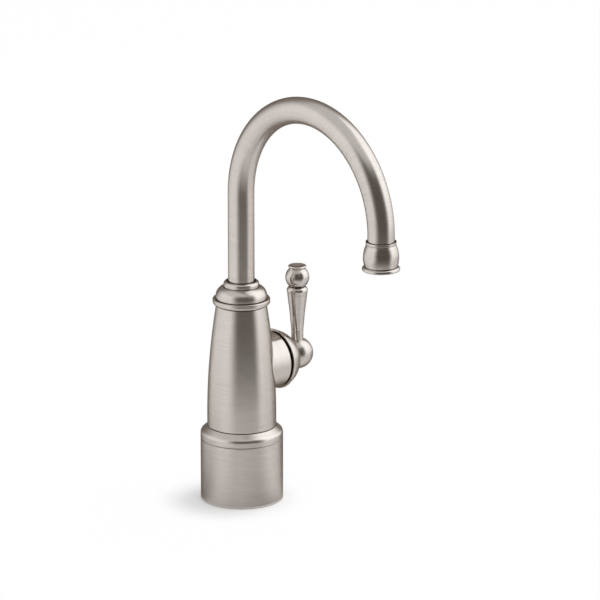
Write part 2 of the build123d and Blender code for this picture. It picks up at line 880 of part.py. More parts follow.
with BuildPart() as valve_stem:
    with BuildSketch(across(fork_x - lug_d - 0.2 + 0.05)):
        for side in (1, -1):
            with Locations((0, side * (disc_r - 2.2))):
                Rectangle(lug_w - 0.1, 2.4)
    extrude(amount=lug_d + 0.15 + fork_t)
    with BuildSketch(across(fork_x)):
        Circle(stem_r)
        Rectangle(lug_w + 1.4, 2 * disc_r - 2.0)
    extrude(amount=fork_t)
    with BuildSketch(across(fork_x + fork_t)):
        Circle(stem_r)
    extrude(amount=crown_x - fork_x - fork_t)
    with BuildSketch(across(crown_x)):
        Circle(drive_r)
    extrude(amount=stem_end - crown_x)
    with BuildSketch(across(nut_face + 0.3)):
        with BuildLine():
            lug = CenterArc((0, 0), barrel_neck - 0.3, 190 - lug_arc / 2, lug_arc)
            Polyline(lug @ 0, (0, 0), lug @ 1)
        make_face()
    extrude(amount=crown_x - nut_face - 0.5)
    with BuildSketch(across(nut_x)):
        Circle(stem_r + 1)
        Circle(stem_r - 1.4, mode=Mode.SUBTRACT)
    extrude(amount=1.9, mode=Mode.SUBTRACT)
    with BuildSketch(across(post_x)):
        with Locations((0, -drive_r)):
            Rectangle(2 * drive_r, 2 * flat_d)
    extrude(amount=stem_end - post_x, mode=Mode.SUBTRACT)
valve_stem.part.label = "valve_stem"
export_step(valve_stem.part, "parts/valve_stem.step")

with BuildPart() as stem_o_ring:
    with BuildSketch(valve_plane):
        with Locations((nut_x + 0.95, stem_r - 0.7)):
            Ellipse(0.95, 0.7)
    revolve(axis=valve_axis)
stem_o_ring.part.label = "stem_o_ring"
export_step(stem_o_ring.part, "parts/stem_o_ring.step")

reach_x = lever_x - skirt_centre
crease_x = (reach_x**2 + skirt_arc**2 - hub_ball**2) / (2 * reach_x)
crease = (skirt_centre + crease_x, reach_of(skirt_arc, crease_x))
hollow_r = skirt_arc - skirt_wall
hub_post = 7.5
socket_low = valve_z + 6.2
with BuildPart() as handle_hub:
    with BuildSketch(valve_plane):
        with BuildLine():
            rim_x = skirt_x + skirt_rim_w
            dome_x = rim_x + skirt_line_w
            dome_foot = reach_of(skirt_arc, dome_x - skirt_centre)
            skirt = RadiusArc((dome_x, dome_foot), crease, skirt_arc)
            ball = RadiusArc(crease, (lever_x + hub_ball, 0), hub_ball)
            inside = RadiusArc(
                (skirt_x, reach_of(hollow_r, skirt_x - skirt_centre)),
                (skirt_centre + reach_of(hollow_r, hub_post), hub_post),
                hollow_r,
            )
            Polyline(
                inside @ 0,
                (skirt_x, skirt_rim_r - 0.3),
                (skirt_x + 0.3, skirt_rim_r),
                (rim_x, skirt_rim_r),
                (rim_x, dome_foot - skirt_line_d),
                (dome_x, dome_foot - skirt_line_d),
                skirt @ 0,
            )
            Polyline(
                ball @ 1,
                (stem_end, 0),
                (stem_end, drive_r),
                (post_x, drive_r),
                (post_x, hub_post),
                inside @ 1,
            )
        make_face()
    revolve(axis=valve_axis)
    with BuildSketch(Plane.XY.offset(socket_low)):
        with Locations((lever_x, 0)):
            Circle(lever_r)
    extrude(amount=hub_ball, mode=Mode.SUBTRACT)
    with BuildSketch(Plane.XY.offset(socket_low - 4.5)):
        with Locations((lever_x, 0)):
            Circle(2.4)
    extrude(amount=4.5, mode=Mode.SUBTRACT)
    with BuildSketch(Plane.XY.offset(valve_z - skirt_arc)):
        with Locations((screw_x, 0)):
            Circle(1.5)
    extrude(amount=skirt_arc - hub_post - 0.5, mode=Mode.SUBTRACT)
    with BuildSketch(Plane.XY.offset(valve_z - hub_post - 1)):
        with Locations((screw_x, 0)):
            Circle(2.0)
    extrude(amount=hub_post + 1, mode=Mode.SUBTRACT)
handle_hub.part.label = "handle_hub"
export_step(handle_hub.part, "parts/handle_hub.step")

screw_top = valve_z - drive_r + flat_d
with BuildPart() as handle_set_screw:
    with BuildSketch(Plane.XY.offset(screw_top)):
        with Locations((screw_x, 0)):
            Circle(2.0)
    extrude(amount=-3.8)
    with BuildSketch(Plane.XY.offset(screw_top - 3.8)):
        with Locations((screw_x, 0)):
            RegularPolygon(1.15, 6)
    extrude(amount=1.7, mode=Mode.SUBTRACT)
handle_set_screw.part.label = "handle_set_screw"
export_step(handle_set_screw.part, "parts/handle_set_screw.step")

lever_foot = valve_z + 1.54 * hub_ball
lever_top = lever_collar_z - 1.25
lever_gain = lever_collar_r - 0.27 - lever_r
lever_run = [
    (lever_r + swell * lever_gain, lever_foot + part * (lever_top - lever_foot))
    for part, swell in lever_swell
]
seat_cut = finial_z - reach_of(finial_r, 2.4)
rest_r = reach_of(finial_r, finial_z - lever_neck_z)
stud_top = finial_z - 0.8
with BuildPart() as lever_shaft:
    with BuildSketch(lever_plane):
        with BuildLine():
            blade = Spline(*lever_run)
            knuckle = Spline(blade @ 1, (lever_collar_r, lever_collar_z), (lever_neck_r, lever_neck_z))
            dish = RadiusArc((rest_r, lever_neck_z), (2.4, seat_cut), finial_r)
            Line(knuckle @ 1, dish @ 0)
            Polyline(
                dish @ 1,
                (2.4, stud_top),
                (0, stud_top),
                (0, socket_low - 4.5),
                (2.4, socket_low - 4.5),
                (2.4, socket_low),
                (lever_r, socket_low),
                blade @ 0,
            )
        make_face()
    revolve(axis=lever_axis)
lever_shaft.part.label = "lever_shaft"
export_step(lever_shaft.part, "parts/lever_shaft.step")

cap_z = finial_z + 5.53
cap_seat = reach_of(finial_r, cap_z - finial_z)
bowl_r = cap_r - 0.75
bowl_d = 0.7
with BuildPart() as finial_ball:
    with BuildSketch(lever_plane):
        with BuildLine():
            low = RadiusArc((finial_r, finial_z), (2.4, seat_cut), finial_r)
            high = RadiusArc((cap_seat, cap_z), (finial_r, finial_z), finial_r)
            Polyline(
                low @ 1,
                (2.4, stud_top),
                (0, stud_top),
                (0, cap_z - 3.8),
                (2.0, cap_z - 3.8),
                (2.0, cap_z),
                (cap_seat, cap_z),
            )
        make_face()
    revolve(axis=lever_axis)
finial_ball.part.label = "finial_ball"
export_step(finial_ball.part, "parts/finial_ball.step")

with BuildPart() as finial_cap:
    with BuildSketch(lever_plane):
        with BuildLine():
            side = Spline(
                (cap_seat, cap_z),
                (cap_seat + 0.1, cap_z + 0.7),
                (cap_r, cap_z + 1.7),
                (cap_r - 0.35, cap_z + 2.2),
            )
            bowl_arc = (bowl_r**2 + bowl_d**2) / (2 * bowl_d)
            bowl = RadiusArc((0, cap_z + 2.2 - bowl_d), (bowl_r, cap_z + 2.2), -bowl_arc)
            Line(bowl @ 1, side @ 1)
            Polyline(
                bowl @ 0,
                (0, cap_z - 3.8),
                (2.0, cap_z - 3.8),
                (2.0, cap_z),
                (cap_seat, cap_z),
            )
        make_face()
    revolve(axis=lever_axis)
finial_cap.part.label = "finial_cap"
export_step(finial_cap.part, "parts/finial_cap.step")
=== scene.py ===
"""Beverage faucet in brushed nickel: finishes, threads, swept tube, screen, studio and camera."""

import logging
from dataclasses import dataclass, replace
from enum import Enum
from math import cos, pi, radians, sin, sqrt
from typing import Any

import bmesh
import bpy
from mathutils import Matrix, Vector


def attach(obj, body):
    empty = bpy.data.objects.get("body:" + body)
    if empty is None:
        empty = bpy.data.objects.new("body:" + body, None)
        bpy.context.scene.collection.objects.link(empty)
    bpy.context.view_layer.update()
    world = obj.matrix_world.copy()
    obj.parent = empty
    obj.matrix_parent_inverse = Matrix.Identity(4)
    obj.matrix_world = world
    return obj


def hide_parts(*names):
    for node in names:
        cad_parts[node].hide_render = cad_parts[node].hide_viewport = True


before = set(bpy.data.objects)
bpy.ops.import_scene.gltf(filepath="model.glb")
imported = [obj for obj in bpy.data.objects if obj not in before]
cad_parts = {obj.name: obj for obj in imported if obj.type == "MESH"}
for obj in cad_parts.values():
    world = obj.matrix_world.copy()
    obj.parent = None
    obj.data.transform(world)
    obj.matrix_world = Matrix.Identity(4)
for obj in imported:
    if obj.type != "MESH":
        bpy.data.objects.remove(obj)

Colour = tuple[float, float, float]
Point = tuple[float, float, float]
Span = tuple[float, float]

MM = 0.001
ALONG = "along_path"
VEIL = "veil"
VALVE_Z = 84.8
VIEW_TURN = -41.4
WHITE = (1.0, 1.0, 1.0, 1.0)
ORIGIN: Point = (0.0, 0.0, 0.0)
log = logging.getLogger("faucet")


class Axis(Enum):
    """Line that a turned piece was brushed round, as the turn that brings it onto Z."""

    UP = (0.0, 0.0, 0.0)
    SIDE = (0.0, -pi / 2, 0.0)


class Grain(Enum):
    """Which way the fine lines of the brushing run, as the turn that they give the gloss."""

    ROUND = 0.25
    PATH = 0.0


class Value:
    """A number socket of a node tree, with the operators that add Math nodes."""

    def __init__(self, tree: "Tree", socket: Any) -> None:
        """Keep the tree and the socket that gives the number."""
        self.tree = tree
        self.socket = socket

    def maths(self, operation: str, *others: Any) -> "Value":
        """Add one Math node that starts from this value.

        Args:
            operation: The node's operation.
            others: Its other inputs, values or numbers.

        Returns:
            The node's result.
        """
        inputs = {i + 1: other for i, other in enumerate(others)}
        return self.tree.add("ShaderNodeMath", {"operation": operation}, {0: self, **inputs})

    def __add__(self, other: Any) -> "Value":
        """Sum."""
        return self.maths("ADD", other)

    __radd__ = __add__

    def __sub__(self, other: Any) -> "Value":
        """Difference."""
        return self.maths("SUBTRACT", other)

    def __rsub__(self, other: Any) -> "Value":
        """Difference from a number."""
        return self.maths("MULTIPLY_ADD", -1.0, other)

    def __mul__(self, other: Any) -> "Value":
        """Product."""
        return self.maths("MULTIPLY", other)

    __rmul__ = __mul__

    def __truediv__(self, other: Any) -> "Value":
        """Quotient."""
        return self.maths("DIVIDE", other)

    def __pow__(self, other: Any) -> "Value":
        """Power."""
        return self.maths("POWER", other)

    def __gt__(self, other: Any) -> "Value":
        """One where this value is the greater."""
        return self.maths("GREATER_THAN", other)

    def __lt__(self, other: Any) -> "Value":
        """One where this value is the smaller."""
        return self.maths("LESS_THAN", other)

    def least(self, other: Any) -> "Value":
        """Smaller of the two."""
        return self.maths("MINIMUM", other)

    def most(self, other: Any) -> "Value":
        """Larger of the two."""
        return self.maths("MAXIMUM", other)

    def within(self, low: float, high: float) -> "Value":
        """Rise smoothly from 0 at low to 1 at high.

        Args:
            low: Value where the ramp starts.
            high: Value where it ends.

        Returns:
            The eased share.
        """
        settings = {"interpolation_type": "SMOOTHSTEP"}
        inputs = {"Value": self, "From Min": low, "From Max": high}
        return self.tree.add("ShaderNodeMapRange", settings, inputs)


class Tree:
    """A node tree with one method that adds any node to it."""

    def __init__(self, tree: Any) -> None:
        """Keep the Blender tree."""
        self.tree = tree

    def node(
        self,
        kind: str,
        settings: dict[str, Any] | None = None,
        inputs: dict[Any, Any] | None = None,
    ) -> Any:
        """Add a node.

        Args:
            kind: The node's type.
            settings: Its own settings, which are set first.
            inputs: Values or links of its sockets, by name or number.

        Returns:
            The node.
        """
        made = self.tree.nodes.new(kind)
        for name, value in (settings or {}).items():
            setattr(made, name, value)
        for name, value in (inputs or {}).items():
            for each in value if isinstance(value, list) else [value]:
                if isinstance(each, Value):
                    self.tree.links.new(each.socket, made.inputs[name])
                else:
                    made.inputs[name].default_value = each
        return made

    def add(
        self,
        kind: str,
        settings: dict[str, Any] | None = None,
        inputs: dict[Any, Any] | None = None,
        output: str | int = 0,
    ) -> Value:
        """Add a node and take one of its results.

        Args:
            kind: The node's type.
            settings: Its own settings.
            inputs: Values or links of its sockets.
            output: Name or number of the result.

        Returns:
            The result as a value.
        """
        return Value(self, self.node(kind, settings, inputs).outputs[output])

    def vector(self, x: Any, y: Any, z: Any) -> Value:
        """Join three values into a vector."""
        return self.add("ShaderNodeCombineXYZ", None, {0: x, 1: y, 2: z})

    def parts(self, vector: Value) -> tuple[Value, Value, Value]:
        """Split a vector into its three values."""
        made = self.node("ShaderNodeSeparateXYZ", None, {0: vector})
        return tuple(Value(self, made.outputs[i]) for i in range(3))

    def noise(self, vector: Value, scale: float, detail: float = 2.0, rough: float = 0.5) -> Value:
        """Read a noise texture.

        Args:
            vector: Where it is read.
            scale: Its size, as cells in one unit of the vector.
            detail: Its finer layers.
            rough: Strength of the finer layers.

        Returns:
            The noise, about 0.5.
        """
        inputs = {"Vector": vector, "Scale": scale, "Detail": detail, "Roughness": rough}
        return self.add("ShaderNodeTexNoise", {"noise_dimensions": "3D"}, inputs)

    def blend(self, share: Any, first: Any, second: Any) -> Value:
        """Mix two colours.

        Args:
            share: How much of the second.
            first: Colour at 0.
            second: Colour at 1.

        Returns:
            The mixed colour.
        """
        first, second = ((*c, 1) if isinstance(c, tuple) else c for c in (first, second))
        made = self.node("ShaderNodeMix", {"data_type": "RGBA"}, {0: share, 6: first, 7: second})
        return Value(self, made.outputs[2])

    def place(self, axis: Axis = Axis.UP, centre: Point = ORIGIN) -> Value:
        """Read the object's own coordinates, moved to a centre and turned so that the axis is Z.

        Args:
            axis: Line that the piece was turned round.
            centre: A point on it, in millimetres.

        Returns:
            The coordinates in millimetres.
        """
        own = self.add("ShaderNodeTexCoord", None, None, "Object")
        point = {"vector_type": "POINT"}
        inputs = {"Vector": own, "Location": tuple(-c for c in centre), "Scale": (1 / MM,) * 3}
        moved = self.add("ShaderNodeMapping", point, inputs)
        if axis is Axis.UP:
            return moved
        return self.add("ShaderNodeMapping", point, {"Vector": moved, "Rotation": axis.value})

    def rays(self, *kinds: str) -> list[Value]:
        """Tell rays of some kinds, such as the camera's own, from all others.

        Args:
            kinds: The kinds, in the Light Path node's words.

        Returns:
            For each kind, 1 on its rays and 0 on others.
        """
        path = self.node("ShaderNodeLightPath")
        return [Value(self, path.outputs[f"Is {kind} Ray"]) for kind in kinds]

    def radius(self, x: Value, y: Value) -> Value:
        """Give the distance from the axis."""
        return (x * x + y * y) ** 0.5

    def bump(self, height: Value, depth: float) -> Value:
        """Turn a height of 0 to 1 into a normal, with its depth in millimetres."""
        inputs = {"Strength": 1.0, "Distance": depth * MM, "Height": height}
        return self.add("ShaderNodeBump", None, inputs)


def blank(name: str) -> tuple[bpy.types.Material, Tree]:
    """Make a material without nodes.

    Args:
        name: Its name.

    Returns:
        The material and its tree.
    """
    material = bpy.data.materials.new(name)
    material.use_nodes = True
    material.node_tree.nodes.clear()
    return material, Tree(material.node_tree)


@dataclass(frozen=True)
class Finish:
    """What all finishes share: a name and the shader that stands behind it."""

    name: str

    def material(self) -> bpy.types.Material:
        """Build the material, as each kind of finish does in its own way."""
        raise NotImplementedError

    def start(self) -> tuple[bpy.types.Material, Tree, Any]:
        """Make an empty material.

        Returns:
            The material, its tree and its main shader.
        """
        material, tree = blank(self.name)
        shader = tree.node("ShaderNodeBsdfPrincipled")
        tree.node("ShaderNodeOutputMaterial", None, {0: Value(tree, shader.outputs[0])})
        return material, tree, shader

    def join(self, tree: Tree, shader: Any, **sockets: Any) -> None:
        """Set or link sockets of the shader, named with underscores for spaces.

        Args:
            tree: The material's tree.
            shader: Its main shader.
            sockets: Values or links.
        """
        for name, value in sockets.items():
            socket = shader.inputs[name.replace("_", " ").title()]
            if isinstance(value, Value):
                tree.tree.links.new(value.socket, socket)
            else:
                socket.default_value = (*value, 1) if isinstance(value, tuple) else value


@dataclass(frozen=True)
class Boss:
    """A side boss that is brushed round its own axis, in millimetres.

    It is what lies within skin of its radius and past the root, and all that lies past the face.
    """

    centre: Point
    radius: float
    axis: Axis = Axis.SIDE
    skin: float = 0.12
    root: float = 8.0
    face: float = 25.5

    def covers(self, tree: Tree) -> Value:
        """Give 1 on the boss and 0 beside it.

        Args:
            tree: The material's tree.

        Returns:
            The mask.
        """
        x, y, _ = tree.parts(tree.place(self.axis, self.centre))
        off = (tree.radius(x, y) - self.radius).maths("ABSOLUTE")
        out = tree.parts(tree.place())[0]
        return ((off < self.skin) * (out > self.root)).most(out > self.face)


@dataclass(frozen=True)
class BrushedNickel(Finish):
    """Satin nickel plate with the fine lines of its brushing, its lengths in millimetres.

    Lines of width line and broader ones of width scratch make the tone, and change along
    themselves at the rate slow. The roughness has only slow clouds, so that no line glitters.
    Its colour for crevices is painted shade, which the plate takes on where an ambient occlusion
    reading within crevice_reach finds crevices; unshaded gives the openness at which this painted
    shade starts and ends. Seam is the height of a fine line of painted shade round the piece.
    """

    axis: Axis = Axis.UP
    centre: Point = ORIGIN
    grain: Grain = Grain.ROUND
    boss: Boss | None = None
    tone: Colour = (0.69, 0.642, 0.601)
    shade: Colour = (0.605, 0.56, 0.522)
    crevice_shade: Colour = (0.10, 0.09, 0.08)
    edge: Colour = (0.55, 0.52, 0.495)
    unshaded: Span = (0.25, 0.85)
    crevice_reach: float = 1.2
    crevice_samples: int = 8
    seam: float | None = None
    seam_width: float = 0.45
    seam_level: float = 0.6
    roughness: float = 0.24
    cloud_scale: float = 0.045
    cloud_rough: Span = (-0.02, 0.05)
    smear: float = 0.65
    depth: float = 0.0006
    line: float = 0.3
    scratch: float = 0.8
    line_share: float = 0.5
    line_rough: float = 0.6
    contrast: Span = (0.3, 0.7)
    slow: float = 0.06

    def lines(self, tree: Tree, axis: Axis, centre: Point, line: float) -> Value:
        """Give coordinates that change fast across the brushing and slowly along it.

        Args:
            tree: The material's tree.
            axis: Line that the piece was turned round.
            centre: A point on it, in millimetres.
            line: Width of one line in millimetres.

        Returns:
            The coordinates in line widths.
        """
        x, y, z = tree.parts(tree.place(axis, centre))
        if self.grain is Grain.PATH:
            along = tree.add("ShaderNodeAttribute", {"attribute_name": ALONG}, None, "Fac")
            return tree.vector(x * self.slow, y * self.slow, along / (MM * line))
        across = tree.radius(x, y) / line
        return tree.vector(across + x * self.slow, z / line, y * self.slow)

    def streaks(self, tree: Tree, line: float) -> Value:
        """Read the brushing at one width of line, round the boss as well where there is one.

        Args:
            tree: The material's tree.
            line: Width of one line in millimetres.

        Returns:
            The streaks, about 0.5.
        """
        where = self.lines(tree, self.axis, self.centre, line)
        if self.boss:
            on_boss = self.boss.covers(tree)
            other = self.lines(tree, self.boss.axis, self.boss.centre, line)
            inputs = {0: on_boss, 4: where, 5: other}
            where = tree.add("ShaderNodeMix", {"data_type": "VECTOR"}, inputs, 1)
        return tree.noise(where, 1.0, rough=self.line_rough)

    def unshaded_share(self, tree: Tree) -> Value:
        """Read how free the plate is of painted shade: 0 deep in crevices or on the seam, 1 in the
        open.

        Args:
            tree: The material's tree.

        Returns:
            The share that is clean.
        """
        # Painted shade: ambient occlusion sets how far the colour darkens in crevices.
        settings = {"samples": self.crevice_samples}
        inputs = {"Distance": self.crevice_reach * MM}
        unshaded = tree.add("ShaderNodeAmbientOcclusion", settings, inputs, "AO").within(*self.unshaded)
        if self.seam is None:
            return unshaded
        # Painted shade along the seam as well, as a fine dark line.
        off = (tree.parts(tree.place())[2] - self.seam).maths("ABSOLUTE")
        beside = off.within(self.seam_width / 2, self.seam_width)
        return unshaded * (beside * (1.0 - self.seam_level) + self.seam_level)

    def material(self) -> bpy.types.Material:
        """Build the material.

        Returns:
            The material.
        """
        material, tree, shader = self.start()
        scratches = self.streaks(tree, self.scratch)
        fine = self.streaks(tree, self.line) * self.line_share
        streak = fine + scratches * (1.0 - self.line_share)
        cloud = tree.noise(tree.place(), self.cloud_scale)
        plate = tree.blend(streak.within(*self.contrast), self.shade, self.tone)
        least, spread = self.cloud_rough
        self.join(
            tree,
            shader,
            # Painted shade: the plate's colour darkens in crevices and on the seam.
            base_color=tree.blend(self.unshaded_share(tree), self.crevice_shade, plate),
            metallic=1.0,
            specular_tint=self.edge,
            roughness=self.roughness + least + cloud * spread,
            anisotropic=self.smear,
            anisotropic_rotation=self.grain.value,
            normal=tree.bump(scratches, self.depth),
        )
        return material


@dataclass(frozen=True)
class TurnedMetal(Finish):
    """Bare machined metal, with the tool's fine rings and a little tarnish."""

    tone: Colour = (0.78, 0.60, 0.32)
    tarnish: Colour = (0.55, 0.38, 0.17)
    axis: Axis = Axis.UP
    centre: Point = ORIGIN
    roughness: float = 0.26
    dulling: float = 0.16
    patch_scale: float = 0.12
    patch: Span = (0.45, 0.8)
    feed: float = 0.35
    ring_rough: float = 0.04
    depth: float = 0.004

    def material(self) -> bpy.types.Material:
        """Build the material.

        Returns:
            The material.
        """
        material, tree, shader = self.start()
        where = tree.place(self.axis, self.centre)
        x, y, z = tree.parts(where)
        turns = (tree.radius(x, y) + z) * (2 * pi / self.feed)
        rings = turns.maths("SINE") * 0.5 + 0.5
        patches = tree.noise(where, self.patch_scale, detail=4.0, rough=0.6)
        share = patches.within(*self.patch)
        self.join(
            tree,
            shader,
            base_color=tree.blend(share, self.tone, self.tarnish),
            metallic=1.0,
            roughness=self.roughness + share * self.dulling + rings * self.ring_rough,
            normal=tree.bump(rings, self.depth),
        )
        return material


@dataclass(frozen=True)
class Moulded(Finish):
    """A moulded or pressed material: rubber, acetal or lapped ceramic."""

    tone: Colour = (0.03, 0.03, 0.03)
    fleck: Colour = (0.06, 0.06, 0.058)
    roughness: float = 0.6
    grain: float = 2.6
    depth: float = 0.02
    coat: float = 0.0
    spread: float = 0.12
    patch_scale: float = 0.18
    patch: Span = (0.35, 0.75)

    def material(self) -> bpy.types.Material:
        """Build the material.

        Returns:
            The material.
        """
        material, tree, shader = self.start()
        where = tree.place()
        grain = tree.noise(where, self.grain, detail=3.0, rough=0.6)
        patches = tree.noise(where, self.patch_scale, detail=3.0)
        self.join(
            tree,
            shader,
            base_color=tree.blend(patches.within(*self.patch), self.tone, self.fleck),
            roughness=self.roughness + grain * self.spread - self.spread / 2,
            coat_weight=self.coat,
            normal=tree.bump(grain, self.depth),
        )
        return material


class Palette:
    """Every finish of the faucet, each made once."""

    def __init__(self) -> None:
        """Start with none made."""
        self.made: dict[str, bpy.types.Material] = {}

    def get(self, finish: Finish) -> bpy.types.Material:
        """Make a finish's material, or give the one already made.

        Args:
            finish: The finish.

        Returns:
            Its material.
        """
        if finish.name not in self.made:
            self.made[finish.name] = finish.material()
        return self.made[finish.name]

    def dress(self, finish: Finish, *nodes: str) -> None:
        """Give CAD nodes their finish.

        Args:
            finish: The finish.
            nodes: The nodes' names.
        """
        for node in nodes:
            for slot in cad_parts[node].material_slots:
                slot.material = self.get(finish)
            log.info("%s wears %s", node, finish.name)


# Painted shade for the crevices of the hub and the finial, lighter than the default.
SOFT_CREVICE_SHADE = (0.3, 0.275, 0.255)
RUBBER = Moulded("rubber", (0.022, 0.022, 0.023), (0.05, 0.05, 0.048), roughness=0.62)
ACETAL = Moulded(
    "acetal", (0.80, 0.80, 0.76), (0.74, 0.73, 0.68), roughness=0.38, grain=1.4, depth=0.008
)
CERAMIC = Moulded(
    "ceramic",
    (0.88, 0.87, 0.84),
    (0.82, 0.80, 0.76),
    roughness=0.16,
    grain=3.5,
    depth=0.002,
    coat=0.3,
)
BRASS = TurnedMetal("brass")
STEEL = TurnedMetal("stainless", (0.62, 0.62, 0.63), (0.48, 0.48, 0.49), roughness=0.22)


def linked(name: str, data: Any) -> bpy.types.Object:
    """Make an object and link it to the scene.

    Args:
        name: Its name.
        data: Its mesh, lamp or camera.

    Returns:
        The object.
    """
    made = bpy.data.objects.new(name, data)
    bpy.context.scene.collection.objects.link(made)
    return made


@dataclass
class Weaver:
    """Builds Geometry Nodes trees, runs them and keeps the plain mesh.

    Points nearer than weld, in millimetres, become one.
    """

    weld: float = 0.001

    def start(self, name: str, sizes: dict[str, float]) -> tuple[Tree, dict[str, Value]]:
        """Open a tree with named number inputs.

        Args:
            name: The tree's name.
            sizes: Inputs and their values.

        Returns:
            The tree and its inputs as values.
        """
        group = bpy.data.node_groups.new(name, "GeometryNodeTree")
        group.interface.new_socket("Geometry", in_out="OUTPUT", socket_type="NodeSocketGeometry")
        for size in sizes:
            group.interface.new_socket(size, in_out="INPUT", socket_type="NodeSocketFloat")
        tree = Tree(group)
        entry = tree.node("NodeGroupInput")
        return tree, {size: Value(tree, entry.outputs[size]) for size in sizes}

    def run(
        self,
        name: str,
        tree: Tree,
        shape: Value,
        sizes: dict[str, float],
        material: bpy.types.Material,
    ) -> bpy.types.Object:
        """Close a tree, evaluate it on a new object and keep the plain mesh.

        Args:
            name: The piece's name.
            tree: The open tree.
            shape: Its last geometry.
            sizes: Values of the named inputs.
            material: What the piece is made of.

        Returns:
            The piece.
        """
        real = tree.add("GeometryNodeRealizeInstances", None, {0: shape})
        inputs = {"Geometry": real, "Material": material}
        tree.node("NodeGroupOutput", None, {0: tree.add("GeometryNodeSetMaterial", None, inputs)})
        piece = linked(name, bpy.data.meshes.new(name))
        modifier = piece.modifiers.new(name, "NODES")
        modifier.node_group = tree.tree
        for item in tree.tree.interface.items_tree:
            if item.in_out == "INPUT":
                modifier[item.identifier] = sizes[item.name]
        graph = bpy.context.evaluated_depsgraph_get()
        mesh = bpy.data.meshes.new_from_object(piece.evaluated_get(graph))
        piece.modifiers.remove(modifier)
        # One slot for all faces, whatever slots the tree's result brought along.
        mesh.materials.clear()
        mesh.materials.append(material)
        mesh.polygons.foreach_set("material_index", [0] * len(mesh.polygons))
        piece.data = mesh
        mesh.name = name
        return piece

    def grid(self, tree: Tree, columns: int, rows: int) -> tuple[Value, Value, Value]:
        """Add a flat grid and its two running shares.

        Args:
            tree: The open tree.
            columns: Vertices across.
            rows: Vertices down.

        Returns:
            The grid, and the shares 0 to 1 across and down.
        """
        sizes = {"Size X": 1.0, "Size Y": 1.0, "Vertices X": columns, "Vertices Y": rows}
        flat = tree.add("GeometryNodeMeshGrid", None, sizes)
        x, y, _ = tree.parts(tree.add("GeometryNodeInputPosition"))
        return flat, x + 0.5, y + 0.5

    def moved(self, tree: Tree, shape: Value, place: Value) -> Value:
        """Move a shape's points to their places and weld what meets.

        Args:
            tree: The open tree.
            shape: The shape.
            place: Where each point goes, in millimetres.

        Returns:
            The welded shape.
        """
        metres = tree.add("ShaderNodeVectorMath", {"operation": "SCALE"}, {0: place, "Scale": MM})
        put = tree.add("GeometryNodeSetPosition", None, {"Geometry": shape, "Position": metres})
        inputs = {"Geometry": put, "Distance": self.weld * MM}
        return tree.add("GeometryNodeMergeByDistance", None, inputs)


SKIN_WELD = 0.002
SHARP_ANGLE = 32.0


def close_rings(piece: bpy.types.Object, rings: list[list[Point]], ring_loop: bool = False) -> None:
    """Skin a stack of rings onto a piece, weld it and mark its sharp edges.

    Args:
        piece: The piece, whose open ends meet the first and last ring.
        rings: Rings of points in millimetres, each counter-clockwise seen from above.
        ring_loop: Whether the last ring joins the first.
    """
    mesh = bmesh.new()
    mesh.from_mesh(piece.data)
    rows = [[mesh.verts.new([c * MM for c in point]) for point in ring] for ring in rings]
    if ring_loop:
        rows.append(rows[0])
    for low, high in zip(rows, rows[1:]):
        for k in range(len(low)):
            after = (k + 1) % len(low)
            mesh.faces.new((low[k], low[after], high[after], high[k]))
    bmesh.ops.remove_doubles(mesh, verts=mesh.verts, dist=SKIN_WELD * MM)
    for face in mesh.faces:
        face.smooth = True
    mesh.to_mesh(piece.data)
    mesh.free()
    piece.data.set_sharp_from_angle(angle=radians(SHARP_ANGLE))


def ring(radius: float, height: float, count: int) -> list[Point]:
    """Give the points of a level circle about the column's axis.

    Args:
        radius: Its radius in millimetres.
        height: Its height.
        count: How many points.

    Returns:
        The points.
    """
    turns = [2 * pi * k / count for k in range(count)]
    return [(cos(t) * radius, sin(t) * radius, height) for t in turns]


@dataclass
class Thread:
    """A screw thread about the column's axis, in millimetres.

    A turn's profile falls from its crest with the slope flank, over rows of points. Spare turns
    run past both ends and are flattened onto them.
    """

    low: float
    high: float
    inside: bool = False
    major: float = 5.54
    minor: float = 4.9
    pitch: float = 1.27
    segments: int = 48
    rows: int = 5
    spare: int = 2
    flank: float = 3.0
    crest: float = 0.3
    slack: float = 0.04

    def build(self, weaver: Weaver, name: str, material: bpy.types.Material) -> bpy.types.Object:
        """Make the helical surface, which runs out to a plain ring at both ends.

        Args:
            weaver: Builder of the tree.
            name: The piece's name.
            material: What it is made of.

        Returns:
            The piece, open at both ends.
        """
        shift = self.slack if self.inside else 0.0
        sizes = {"low": self.low, "high": self.high, "pitch": self.pitch}
        sizes |= {"major": self.major + shift, "minor": self.minor + shift}
        tree, size = weaver.start(name, sizes)
        first = int(self.low / self.pitch) - self.spare
        turns = int((self.high - self.low) / self.pitch) + 2 * self.spare
        flat, share, across = weaver.grid(tree, turns * self.segments + 1, self.rows)
        turn = share * turns
        rise = (turn + across + first) * size["pitch"]
        fall = (across - 0.5).maths("ABSOLUTE") * self.flank - self.crest
        valley = fall.least(1.0).most(0.0)
        radius = size["major"] - (size["major"] - size["minor"]) * valley
        ends = (rise - size["low"]).least(size["high"] - rise).most(0.0)
        if self.inside:
            radius = radius.most(size["major"] - ends)
        else:
            radius = radius.least(size["minor"] + ends)
        height = rise.most(size["low"]).least(size["high"])
        angle = turn * (2 * pi)
        place = tree.vector(angle.maths("COSINE") * radius, angle.maths("SINE") * radius, height)
        shape = weaver.moved(tree, flat, place)
        if self.inside:
            shape = tree.add("GeometryNodeFlipFaces", None, {0: shape})
        return weaver.run(name, tree, shape, sizes, material)


@dataclass
class Base:
    """The wide base on the deck, with what stands inside it."""

    palette: Palette
    seam: float = 39.5

    def build(self) -> None:
        """Dress the base's pieces."""
        # Painted shade: a fine dark line at the seam of sleeve and shoulder.
        nickel = BrushedNickel("nickel_base", seam=self.seam)
        self.palette.dress(nickel, "base_sleeve", "base_shoulder")
        self.palette.dress(BRASS, "base_riser")
        self.palette.dress(RUBBER, "deck_gasket", "riser_o_ring")


